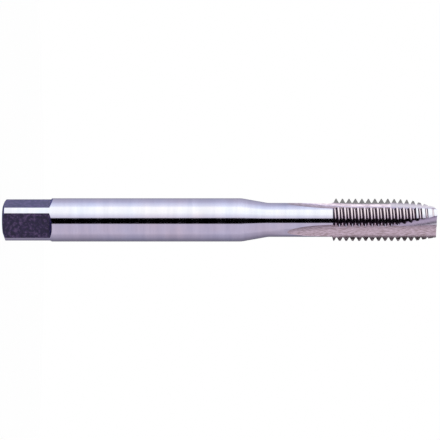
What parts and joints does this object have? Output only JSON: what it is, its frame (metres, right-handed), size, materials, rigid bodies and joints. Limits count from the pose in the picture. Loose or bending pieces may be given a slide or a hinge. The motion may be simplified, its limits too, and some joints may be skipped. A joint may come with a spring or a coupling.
{
  "type": "thread tap",
  "caption": "Straight-flute machine tap with a spiral-point lead, relieved neck and driving square, which cuts a right-hand metric thread in a drilled hole.",
  "frame": {"origin": "middle of the driving square's end face, on the surface that the tap stands on", "axes": "+Z along the tap's axis from the driving square up to the cutting tip, -Y through the middle of one land"},
  "size_m": [0.01, 0.01, 0.1],
  "materials": {
    "high_speed_steel": "ground and polished"
  },
  "bodies": {
    "root": {"thread_tap": "high_speed_steel"}
  },
  "joints": []
}
